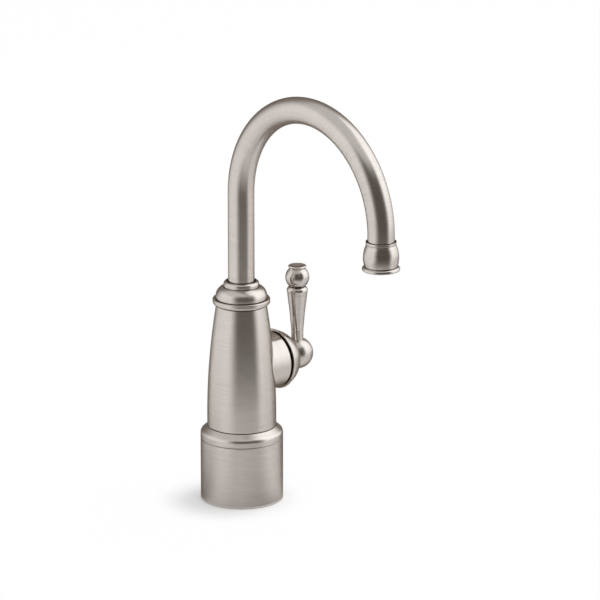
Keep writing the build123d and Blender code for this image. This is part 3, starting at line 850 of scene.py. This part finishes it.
@dataclass
class Column:
    """The tapered column, its waterway, bearings and trim."""

    palette: Palette
    valve_z: float = VALVE_Z
    boss_r: float = 17.6

    def build(self) -> None:
        """Dress the column's pieces."""
        boss = Boss((0.0, 0.0, self.valve_z), self.boss_r)
        self.palette.dress(BrushedNickel("nickel_column", boss=boss), "column_shell")
        self.palette.dress(BrushedNickel("nickel_upright"), "bead_ring", "spout_bonnet")
        self.palette.dress(BRASS, "waterway_body")
        self.palette.dress(STEEL, "retaining_clip")
        self.palette.dress(ACETAL, "lower_bushing", "upper_bushing")


@dataclass
class Valve:
    """The quarter-turn cartridge in the side boss."""

    palette: Palette
    valve_z: float = VALVE_Z

    def build(self) -> None:
        """Dress the valve's pieces."""
        centre = (0.0, 0.0, self.valve_z)
        brass = TurnedMetal("brass_valve", axis=Axis.SIDE, centre=centre)
        self.palette.dress(brass, "cartridge_body", "valve_stem")
        plated = replace(
            brass, name="plated_nut", tone=(0.62, 0.58, 0.54), tarnish=(0.50, 0.46, 0.43)
        )
        self.palette.dress(plated, "cartridge_nut")
        self.palette.dress(CERAMIC, "fixed_disc", "moving_disc")
        self.palette.dress(RUBBER, "cartridge_o_ring", "stem_o_ring", "seat_seal")


@dataclass
class Handle:
    """The domed hub, the turned lever and its finial."""

    palette: Palette
    valve_z: float = VALVE_Z
    lever_x: float = 46.2

    def build(self) -> None:
        """Dress the handle's pieces."""
        hub = BrushedNickel(
            "nickel_hub",
            axis=Axis.SIDE,
            centre=(0.0, 0.0, self.valve_z),
            crevice_shade=SOFT_CREVICE_SHADE,
            smear=0.0,
            roughness=0.2,
        )
        self.palette.dress(hub, "handle_hub")
        centre = (self.lever_x, 0.0, self.valve_z)
        lever = BrushedNickel("nickel_lever", centre=centre, roughness=0.15)
        self.palette.dress(lever, "lever_shaft")
        finial = replace(lever, name="nickel_finial", crevice_shade=SOFT_CREVICE_SHADE, smear=0.3)
        self.palette.dress(finial, "finial_ball")
        bright = replace(
            finial,
            name="nickel_cap",
            tone=(0.84, 0.79, 0.75),
            shade=(0.72, 0.67, 0.63),
            roughness=0.13,
        )
        self.palette.dress(bright, "finial_cap")
        self.palette.dress(STEEL, "handle_set_screw")


@dataclass
class Spout:
    """The gooseneck with its fitting and the outlet tip, in millimetres.

    The tube has so many sides round it and steps along it, and each wire of the screen wire_steps
    from one crossing to the next. The outermost wires may lie wire_limit inside the screen's
    radius, and all wires end wire_hold inside it.
    """

    palette: Palette
    weaver: Weaver
    reach: float = 128.6
    tube_r: float = 8.25
    tube_wall: float = 1.2
    sides: int = 72
    steps: int = 200
    foot: float = 117.3
    bend_z: float = 197.6
    end: float = 188.0
    screen_z: float = 178.2
    screen_r: float = 7.35
    wire_gap: float = 0.7
    wire_r: float = 0.13
    wire_sides: int = 6
    wire_steps: int = 4
    wire_limit: float = 0.55
    wire_hold: float = 0.4
    wave: float = 0.14
    rim: float = 0.75
    rim_half: float = 0.3
    rim_bevel: float = 0.1
    rim_sides: int = 64

    def tube(self) -> bpy.types.Object:
        """Sweep the tube, with both its walls, along the gooseneck.

        Returns:
            The tube.
        """
        sizes = {"reach": self.reach, "outer": self.tube_r, "inner": self.tube_r - self.tube_wall}
        sizes |= {"foot": self.foot, "bend": self.bend_z, "end": self.end}
        tree, size = self.weaver.start("gooseneck", sizes)
        steps = self.steps
        flat, share, down = self.weaver.grid(tree, self.sides + 1, 2 * steps + 3)
        # Out along the outer wall, back along the inner one, and last onto the first row.
        step = down * (2 * steps + 2)
        back = step > steps + 0.5
        inside = back * (step < 2 * steps + 1.5)
        forth = (step * (1.0 - back) + (2 * steps + 1 - step) * back).most(0.0) / steps
        bend = size["reach"] * 0.5
        rise, arc = size["bend"] - size["foot"], bend * pi
        along = forth * (rise + arc + size["bend"] - size["end"])
        turned = ((along - rise) / bend).most(0.0).least(pi)
        short = (rise - along).most(0.0) + (along - rise - arc).most(0.0)
        radius = size["outer"] - (size["outer"] - size["inner"]) * inside
        turn = share * (2 * pi)
        out = bend + radius * turn.maths("SINE")
        place = tree.vector(
            radius * turn.maths("COSINE"),
            out * turned.maths("COSINE") - bend,
            size["bend"] + out * turned.maths("SINE") - short,
        )
        settings = {"data_type": "FLOAT", "domain": "POINT"}
        named = {"Geometry": flat, "Name": ALONG, "Value": along * MM}
        marked = tree.add("GeometryNodeStoreNamedAttribute", settings, named)
        shape = self.weaver.moved(tree, marked, place)
        nickel = BrushedNickel("nickel_tube", grain=Grain.PATH, smear=0.0, roughness=0.23)
        tube = self.weaver.run("gooseneck", tree, shape, sizes, self.palette.get(nickel))
        close_rings(tube, [])
        return tube

    def wires(self, tree: Tree, size: dict[str, Value], crossing: bool) -> Value:
        """Add one family of the screen's wires, which wave over and under the other.

        Args:
            tree: The open tree.
            size: The tree's named inputs.
            crossing: Whether they run across the first family.

        Returns:
            The wires.
        """
        count = 2 * int((self.screen_r - self.wire_limit) / self.wire_gap) + 1
        start = (-(count - 1) / 2 * self.wire_gap * MM, 0, 0)
        line = {"Count": count, "Start Location": start, "Offset": (self.wire_gap * MM, 0, 0)}
        points = tree.add("GeometryNodeMeshLine", None, line)
        x, _, _ = tree.parts(tree.add("GeometryNodeInputPosition"))
        limit = (self.screen_r - self.wire_hold) * MM
        chord = (limit * limit - x * x) ** 0.5
        ends = {"Start": (0, -1, 0), "End": (0, 1, 0)}
        one = tree.add("GeometryNodeCurvePrimitiveLine", None, ends)
        copies = {"Points": points, "Instance": one, "Scale": tree.vector(1.0, chord, 1.0)}
        many = tree.add("GeometryNodeInstanceOnPoints", None, copies)
        real = tree.add("GeometryNodeRealizeInstances", None, {0: many})
        inputs = {"Curve": real, "Length": size["gap"] * (MM / self.wire_steps)}
        fine = tree.add("GeometryNodeResampleCurve", {"mode": "LENGTH"}, inputs)
        x, y, _ = tree.parts(tree.add("GeometryNodeInputPosition"))
        over, under = ((way / (size["gap"] * MM) * pi).maths("COSINE") for way in (x, y))
        height = over * under * size["wave"] * (-MM if crossing else MM)
        at = tree.vector(*((y, x) if crossing else (x, y)), height)
        bent = tree.add("GeometryNodeSetPosition", None, {"Geometry": fine, "Position": at})
        inputs = {"Resolution": self.wire_sides, "Radius": size["wire"] * MM}
        section = tree.add("GeometryNodeCurvePrimitiveCircle", {"mode": "RADIUS"}, inputs)
        inputs = {"Curve": bent, "Profile Curve": section, "Fill Caps": True}
        return tree.add("GeometryNodeCurveToMesh", None, inputs)

    def screen(self) -> bpy.types.Object:
        """Weave the aerator's wire screen and press it into its rim.

        Returns:
            The screen.
        """
        sizes = {"gap": self.wire_gap, "wire": self.wire_r, "wave": self.wave}
        tree, size = self.weaver.start("wire_screen", sizes)
        both = [self.wires(tree, size, crossing) for crossing in (False, True)]
        joined = tree.add("GeometryNodeJoinGeometry", None, {0: both})
        place = (0.0, -self.reach * MM, self.screen_z * MM)
        put = tree.add("GeometryNodeTransform", None, {"Geometry": joined, "Translation": place})
        screen = self.weaver.run("wire_screen", tree, put, sizes, self.palette.get(STEEL))
        outer, inner = self.screen_r, self.screen_r - self.rim
        half, cut = self.rim_half, self.rim_bevel
        profile = [(outer - cut, -half), (outer, cut - half), (outer, half - cut)]
        profile += [(outer - cut, half), (inner + cut, half), (inner, half - cut)]
        profile += [(inner, cut - half), (inner + cut, -half)]
        rows = [ring(radius, self.screen_z + rise, self.rim_sides) for radius, rise in profile]
        shifted = [[(x, y - self.reach, z) for x, y, z in row] for row in rows]
        close_rings(screen, shifted, ring_loop=True)
        return screen

    def build(self) -> None:
        """Make the tube and the screen, and dress the rest."""
        for piece, node in ((self.tube(), "spout_tube"), (self.screen(), "aerator_screen")):
            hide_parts(node)
            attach(piece, "spout")
            log.info("%s stands for %s", piece.name, node)
        centre = (0.0, -self.reach, 0.0)
        tip = BrushedNickel("nickel_tip", centre=centre, smear=0.2, roughness=0.16)
        self.palette.dress(tip, "spout_tip")
        self.palette.dress(BRASS, "spout_post")
        self.palette.dress(RUBBER, "spout_o_rings", "aerator_washer")
        self.palette.dress(ACETAL, "aerator_body")


@dataclass
class DeckMount:
    """What clamps the faucet to the deck and brings the water."""

    palette: Palette
    weaver: Weaver
    bore: float = 3.0
    shank_low: float = -60.0
    shank_high: float = 21.2
    nut_low: float = -43.0
    nut_high: float = -35.0
    chamfer: float = 0.3
    flats: float = 22.0
    bevel: float = 0.9
    bevel_steps: int = 5

    def shank(self) -> bpy.types.Object:
        """Cut the shank's thread and close it with its bore.

        Returns:
            The shank.
        """
        thread = Thread(self.shank_low, self.shank_high)
        shank = thread.build(self.weaver, "mounting_shank", self.palette.get(BRASS))
        low, high, cut = self.shank_low, self.shank_high, self.chamfer
        ends = [(thread.minor, high), (self.bore + cut, high), (self.bore, high - cut)]
        ends += [(self.bore, low + cut), (self.bore + cut, low), (thread.minor, low)]
        close_rings(shank, [ring(radius, height, thread.segments) for radius, height in ends])
        return shank

    def hexagon(self, limit: float, height: float, count: int) -> list[Point]:
        """Give a level ring of the nut, cut to a circle at its bevels.

        Args:
            limit: Radius of that circle.
            height: The ring's height.
            count: How many points.

        Returns:
            The points.
        """
        points = []
        for k in range(count):
            turn = 2 * pi * k / count
            reach = min(limit, self.flats / 2 / cos(turn % (pi / 3) - pi / 6))
            points.append((cos(turn) * reach, sin(turn) * reach, height))
        return points

    def nut(self) -> bpy.types.Object:
        """Cut the nut's thread and wrap it in a bevelled hexagon.

        Returns:
            The nut.
        """
        thread = Thread(self.nut_low, self.nut_high, inside=True)
        nut = thread.build(self.weaver, "hexagon_nut", self.palette.get(BRASS))
        flat, corner = self.flats / 2, self.flats / sqrt(3)
        mouth, count = thread.major + thread.slack, thread.segments
        shares = [i / self.bevel_steps for i in range(self.bevel_steps + 1)]
        low = [(flat + (corner - flat) * s, self.nut_low + self.bevel * s) for s in shares]
        high = [(limit, self.nut_low + self.nut_high - height) for limit, height in reversed(low)]
        rows = [ring(mouth, self.nut_low, count)]
        rows += [self.hexagon(limit, height, count) for limit, height in low + high]
        rows.append(ring(mouth, self.nut_high, count))
        close_rings(nut, rows)
        return nut

    def build(self) -> None:
        """Make the threaded pieces and dress the rest."""
        for piece, node in ((self.shank(), "threaded_shank"), (self.nut(), "mounting_nut")):
            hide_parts(node)
            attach(piece, "faucet_body")
            log.info("%s stands for %s", piece.name, node)
        self.palette.dress(BRASS, "inlet_connector")
        self.palette.dress(RUBBER, "deck_washer", "connector_o_ring")
        self.palette.dress(STEEL, "clamp_washer")
        self.palette.dress(ACETAL, "connector_collet")


def smooth(t: float) -> float:
    """Turn an even share into one with a soft start and end."""
    return t * t * (3 - 2 * t)


def eased(stops: tuple[Span, ...], at: float) -> float:
    """Read a row of stops, with a smooth step from each to the next.

    Args:
        stops: Places and their values, in rising order.
        at: Where it is read.

    Returns:
        The value there.
    """
    for (low, first), (high, second) in zip(stops, stops[1:]):
        if at <= high:
            return first + (second - first) * smooth(max(0.0, (at - low) / (high - low)))
    return stops[-1][1]


def lying(height: float, *stops: Span) -> tuple[tuple[float, float, float], ...]:
    """Give the profile of a card that lies flat, from its radii and shares."""
    return tuple((radius, height, share) for radius, share in stops)


@dataclass(frozen=True)
class Card:
    """A soft-edged card, bright or dark, that stands round the faucet for its reflections alone.

    Its turns are degrees to the right of the camera with the card's share there. Its profile
    runs from the foot up: radius and height in metres, and the share. It has a column every step
    degrees, and so many rows from one stop of its profile to the next.
    """

    name: str
    tone: Colour
    turns: tuple[Span, ...]
    profile: tuple[tuple[float, float, float], ...]
    step: float = 4.0
    rows: int = 8

    def build(self, studio: "Studio") -> None:
        """Stand the card up.

        Args:
            studio: The studio, which knows the camera's direction.
        """
        low, high = self.turns[0][0], self.turns[-1][0]
        columns = int((high - low) / self.step) + 1
        turns = [low + (high - low) * i / columns for i in range(columns + 1)]
        sides = [eased(self.turns, turn) for turn in turns]
        places, shares = [], []
        for i, (first, second) in enumerate(zip(self.profile, self.profile[1:])):
            for j in range(0 if i == 0 else 1, self.rows + 1):
                t = j / self.rows
                radius, height = (first[k] + (second[k] - first[k]) * t for k in range(2))
                share = first[2] + (second[2] - first[2]) * smooth(t)
                for turn, side in zip(turns, sides):
                    out = studio.toward(turn) * radius
                    places.append((out.x, out.y, height))
                    shares.append(side * share)
        width = columns + 1
        starts = [j * width + i for j in range(len(places) // width - 1) for i in range(columns)]
        faces = [(k, k + 1, k + 1 + width, k + width) for k in starts]
        mesh = bpy.data.meshes.new(self.name)
        mesh.from_pydata(places, [], faces)
        mesh.attributes.new(VEIL, "FLOAT", "POINT").data.foreach_set("value", shares)
        material, tree = blank(self.name)
        strength = max(self.tone)
        hue = (*(c / strength for c in self.tone), 1)
        light = tree.add("ShaderNodeEmission", None, {"Color": hue, "Strength": strength})
        clear = tree.add("ShaderNodeBsdfTransparent")
        share = tree.add("ShaderNodeAttribute", {"attribute_name": VEIL}, None, "Fac")
        mixed = tree.add("ShaderNodeMixShader", None, {0: share, 1: clear, 2: light})
        tree.node("ShaderNodeOutputMaterial", None, {0: mixed})
        mesh.materials.append(material)
        card = linked(self.name, mesh)
        for ray in ("camera", "diffuse", "shadow", "transmission", "volume_scatter"):
            setattr(card, "visible_" + ray, False)


FRONT_DARK = (0.12, 0.107, 0.096)
BACK_DARK = (0.30, 0.27, 0.25)
SOFT_LEFT = Card(
    "soft_left",
    (1.02, 1.02, 1.02),
    ((-125.0, 0.0), (-100.0, 1.0), (-52.0, 1.0), (-28.0, 0.0)),
    ((1.5, 0.0, 1.0), (1.5, 1.07, 1.0), (1.5, 2.1, 0.0)),
)
SOFT_RIGHT = Card(
    "soft_right",
    (1.48, 1.5, 1.52),
    ((50.0, 0.0), (82.0, 1.0), (145.0, 1.0), (165.0, 0.0)),
    ((1.5, 0.0, 0.65), (1.5, 0.7, 1.0), (1.5, 2.05, 1.0), (1.5, 4.8, 0.4)),
)
FRONT_FLAG = Card(
    "front_flag",
    FRONT_DARK,
    ((-44.0, 0.0), (-13.0, 1.0), (47.0, 1.0), (76.0, 0.0)),
    ((1.2, 0.0, 1.0), (1.2, 0.95, 1.0), (1.2, 1.8, 0.0)),
)
BACK_FLAG = Card(
    "back_flag",
    BACK_DARK,
    ((130.0, 0.0), (160.0, 1.0), (212.0, 1.0), (242.0, 0.0)),
    ((0.8, 0.0, 1.0), (0.8, 0.8, 1.0), (0.8, 1.5, 0.0)),
)
FRONT_FLOOR = Card(
    "front_floor",
    FRONT_DARK,
    ((-52.0, 0.0), (-8.0, 1.0), (45.0, 1.0), (75.0, 0.0)),
    lying(0.0005, (0.1, 0.0), (0.2, 0.25), (0.35, 0.7), (0.6, 0.93), (1.2, 1.0)),
)
BACK_FLOOR = Card(
    "back_floor",
    BACK_DARK,
    ((105.0, 0.0), (150.0, 1.0), (205.0, 1.0), (245.0, 0.0)),
    lying(0.0008, (0.027, 1.0), (0.12, 1.0), (0.3, 0.85), (0.78, 0.55)),
)
RIGHT_FLOOR = Card(
    "right_floor",
    (0.40, 0.38, 0.36),
    ((62.0, 0.0), (85.0, 1.0), (125.0, 1.0), (145.0, 0.0)),
    lying(0.0009, (0.08, 0.0), (0.2, 0.3), (0.6, 0.3), (1.4, 0.0)),
)
# Painted shade: a dark veil on the floor round the foot, seen only in the metal, stands in for the
# floor's shade there.
PAINTED_FOOT_SHADE = Card(
    "painted_foot_shade",
    (0.30, 0.28, 0.265),
    ((-180.0, 0.85), (-130.0, 0.85), (-90.0, 0.72), (-50.0, 0.3), (-10.0, 0.44), (40.0, 0.63))
    + ((88.0, 0.28), (130.0, 0.6), (180.0, 0.85)),
    lying(0.0006, (0.027, 1.3), (0.06, 1.05), (0.1, 0.8), (0.2, 0.36), (0.5, 0.0)),
)
STANDING = (SOFT_LEFT, SOFT_RIGHT, FRONT_FLAG, BACK_FLAG)
LYING = (FRONT_FLOOR, BACK_FLOOR, RIGHT_FLOOR, PAINTED_FOOT_SHADE)


@dataclass(frozen=True)
class Lamp:
    """A square soft box that faces the faucet and isn't seen in its metal.

    Turn and rise are degrees, to the right of the camera and above the horizon. Distance and
    size are metres, level is the radiance of its face, and watts is what a square metre of it
    takes for a radiance of 1.
    """

    name: str
    turn: float
    rise: float
    distance: float
    size: float
    level: float
    aim: Point = (0.0, -0.03, 0.13)
    watts: float = 4.0

    def build(self, studio: "Studio") -> None:
        """Hang the lamp.

        Args:
            studio: The studio, which knows the camera's direction.
        """
        light = bpy.data.lights.new(self.name, "AREA")
        light.shape = "SQUARE"
        light.size = self.size
        light.energy = self.level * self.watts * self.size * self.size
        lamp = linked(self.name, light)
        lamp.visible_glossy = False
        back = studio.toward(self.turn, self.rise)
        turned = back.to_track_quat("Z", "Y").to_matrix().to_4x4()
        lamp.matrix_world = Matrix.Translation(Vector(self.aim) + back * self.distance) @ turned


@dataclass
class Studio:
    """Pale floor, soft boxes, dark flags and plain white surroundings.

    The camera sees the floor glow, by the first share of floor_glow inside shadow_edge, where it
    keeps more of the faucet's shadow, and by the second outside. Ceiling is how bright the world
    is in the metal, and surround how bright it is as light.
    """

    turn: float = VIEW_TURN
    half: float = 3.0
    floor_tone: float = 0.95
    floor_glow: Span = (0.3, 0.95)
    shadow_edge: Span = (0.026, 0.05)
    shadow_shift: Span = (-0.0095, -0.0005)
    floor_shine: float = 0.3
    ceiling: float = 0.72
    surround: float = 0.45
    lamps: tuple[Lamp, ...] = (
        Lamp("key_right", turn=108.0, rise=73.0, distance=3.2, size=2.2, level=3.8),
        Lamp("fill_left", turn=-80.0, rise=40.0, distance=3.2, size=2.4, level=0.4),
    )
    cards: tuple[Card, ...] = STANDING + LYING

    def toward(self, turn: float, rise: float = 0.0) -> Vector:
        """Give the direction at an angle from the camera's own.

        Args:
            turn: Degrees to the right of the camera, seen from the faucet.
            rise: Degrees above the horizon.

        Returns:
            The direction.
        """
        a, e = radians(self.turn + turn), radians(rise)
        return Vector((sin(a) * cos(e), -cos(a) * cos(e), sin(e)))

    def floor(self) -> None:
        """Lay the floor, white to the camera, with the faucet's soft shadow on it."""
        h = self.half
        corners = [(-h, -h, 0.0), (h, -h, 0.0), (h, h, 0.0), (-h, h, 0.0)]
        mesh = bpy.data.meshes.new("floor")
        mesh.from_pydata(corners, [], [(0, 1, 2, 3)])
        material, tree = blank("floor")
        seen, shine, through = tree.rays("Camera", "Glossy", "Transmission")
        matt = tree.add("ShaderNodeBsdfDiffuse", None, {"Color": (*(self.floor_tone,) * 3, 1)})
        glow = tree.add("ShaderNodeEmission", None, {"Color": WHITE, "Strength": 1.0})
        x, y, _ = tree.parts(tree.add("ShaderNodeTexCoord", None, None, "Object"))
        near, far = self.floor_glow
        off = tree.radius(x - self.shadow_shift[0], y - self.shadow_shift[1])
        glowing = off.within(*self.shadow_edge) * (far - near) + near
        share = (seen.most(through) * glowing).most(shine * self.floor_shine)
        pale = tree.add("ShaderNodeMixShader", None, {0: share, 1: matt, 2: glow})
        # Clear from below, so that the views from under the deck show the faucet.
        back = tree.add("ShaderNodeNewGeometry", None, None, "Backfacing")
        clear = tree.add("ShaderNodeBsdfTransparent")
        whole = tree.add("ShaderNodeMixShader", None, {0: back, 1: pale, 2: clear})
        tree.node("ShaderNodeOutputMaterial", None, {0: whole})
        mesh.materials.append(material)
        floor = linked("floor", mesh)

    def world(self) -> None:
        """Surround all with soft light, white where the camera sees it."""
        world = bpy.data.worlds.new("surroundings")
        world.use_nodes = True
        world.node_tree.nodes.clear()
        tree = Tree(world.node_tree)
        seen, shine = tree.rays("Camera", "Glossy")
        level = seen.most(shine * self.ceiling).most(self.surround)
        light = tree.add("ShaderNodeBackground", None, {"Color": WHITE, "Strength": level})
        tree.node("ShaderNodeOutputWorld", None, {0: light})
        bpy.context.scene.world = world

    def build(self) -> None:
        """Set the whole studio up."""
        self.floor()
        for each in self.cards + self.lamps:
            each.build(self)
        self.world()
        log.info("studio with %d lamps and %d cards", len(self.lamps), len(self.cards))


@dataclass
class PhotoCamera:
    """The photograph's view: 600 by 600 pixels, from far away and a little above.

    Turn and rise are degrees, pixels is how many show a metre, sensor is millimetres and far is
    metres. The rest is in the photograph's pixels.
    """

    turn: float = VIEW_TURN
    rise: float = 16.93
    pixels: float = 1594.0
    distance: float = 5500.0
    side: float = 600.0
    foot: Span = (242.03, 496.0)
    level: float = 303.0
    sensor: float = 36.0
    far: float = 100.0

    def build(self) -> None:
        """Make the camera and set it on the scene."""
        a, e = radians(self.turn), radians(self.rise)
        right = Vector((cos(a), sin(a), 0.0))
        out = Vector((sin(a), -cos(a), 0.0))
        up = Vector((0.0, 0.0, 1.0)) * cos(e) - out * sin(e)
        back = out * cos(e) + Vector((0.0, 0.0, 1.0)) * sin(e)
        across = self.foot[0] - self.side / 2
        down = self.foot[1] - self.level
        place = (back * self.distance - right * across + up * down) / self.pixels
        data = bpy.data.cameras.new("photo_camera")
        data.sensor_width = self.sensor
        data.lens = self.distance / self.side * self.sensor
        data.shift_y = (self.level - self.side / 2) / self.side
        data.clip_end = self.far
        camera = linked("photo_camera", data)
        rows = [(right[i], up[i], back[i], place[i]) for i in range(3)]
        camera.matrix_world = Matrix(rows + [(0.0, 0.0, 0.0, 1.0)])
        bpy.context.scene.camera = camera


def main() -> None:
    """Build the camera, the faucet's pieces and the studio."""
    logging.basicConfig(level=logging.INFO, format="%(name)s: %(message)s")
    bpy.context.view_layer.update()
    PhotoCamera().build()
    palette = Palette()
    weaver = Weaver()
    Base(palette).build()
    Column(palette).build()
    Valve(palette).build()
    Handle(palette).build()
    Spout(palette, weaver).build()
    DeckMount(palette, weaver).build()
    Studio().build()
    bpy.context.scene.view_settings.view_transform = "Standard"


if __name__ == "__main__":
    main()
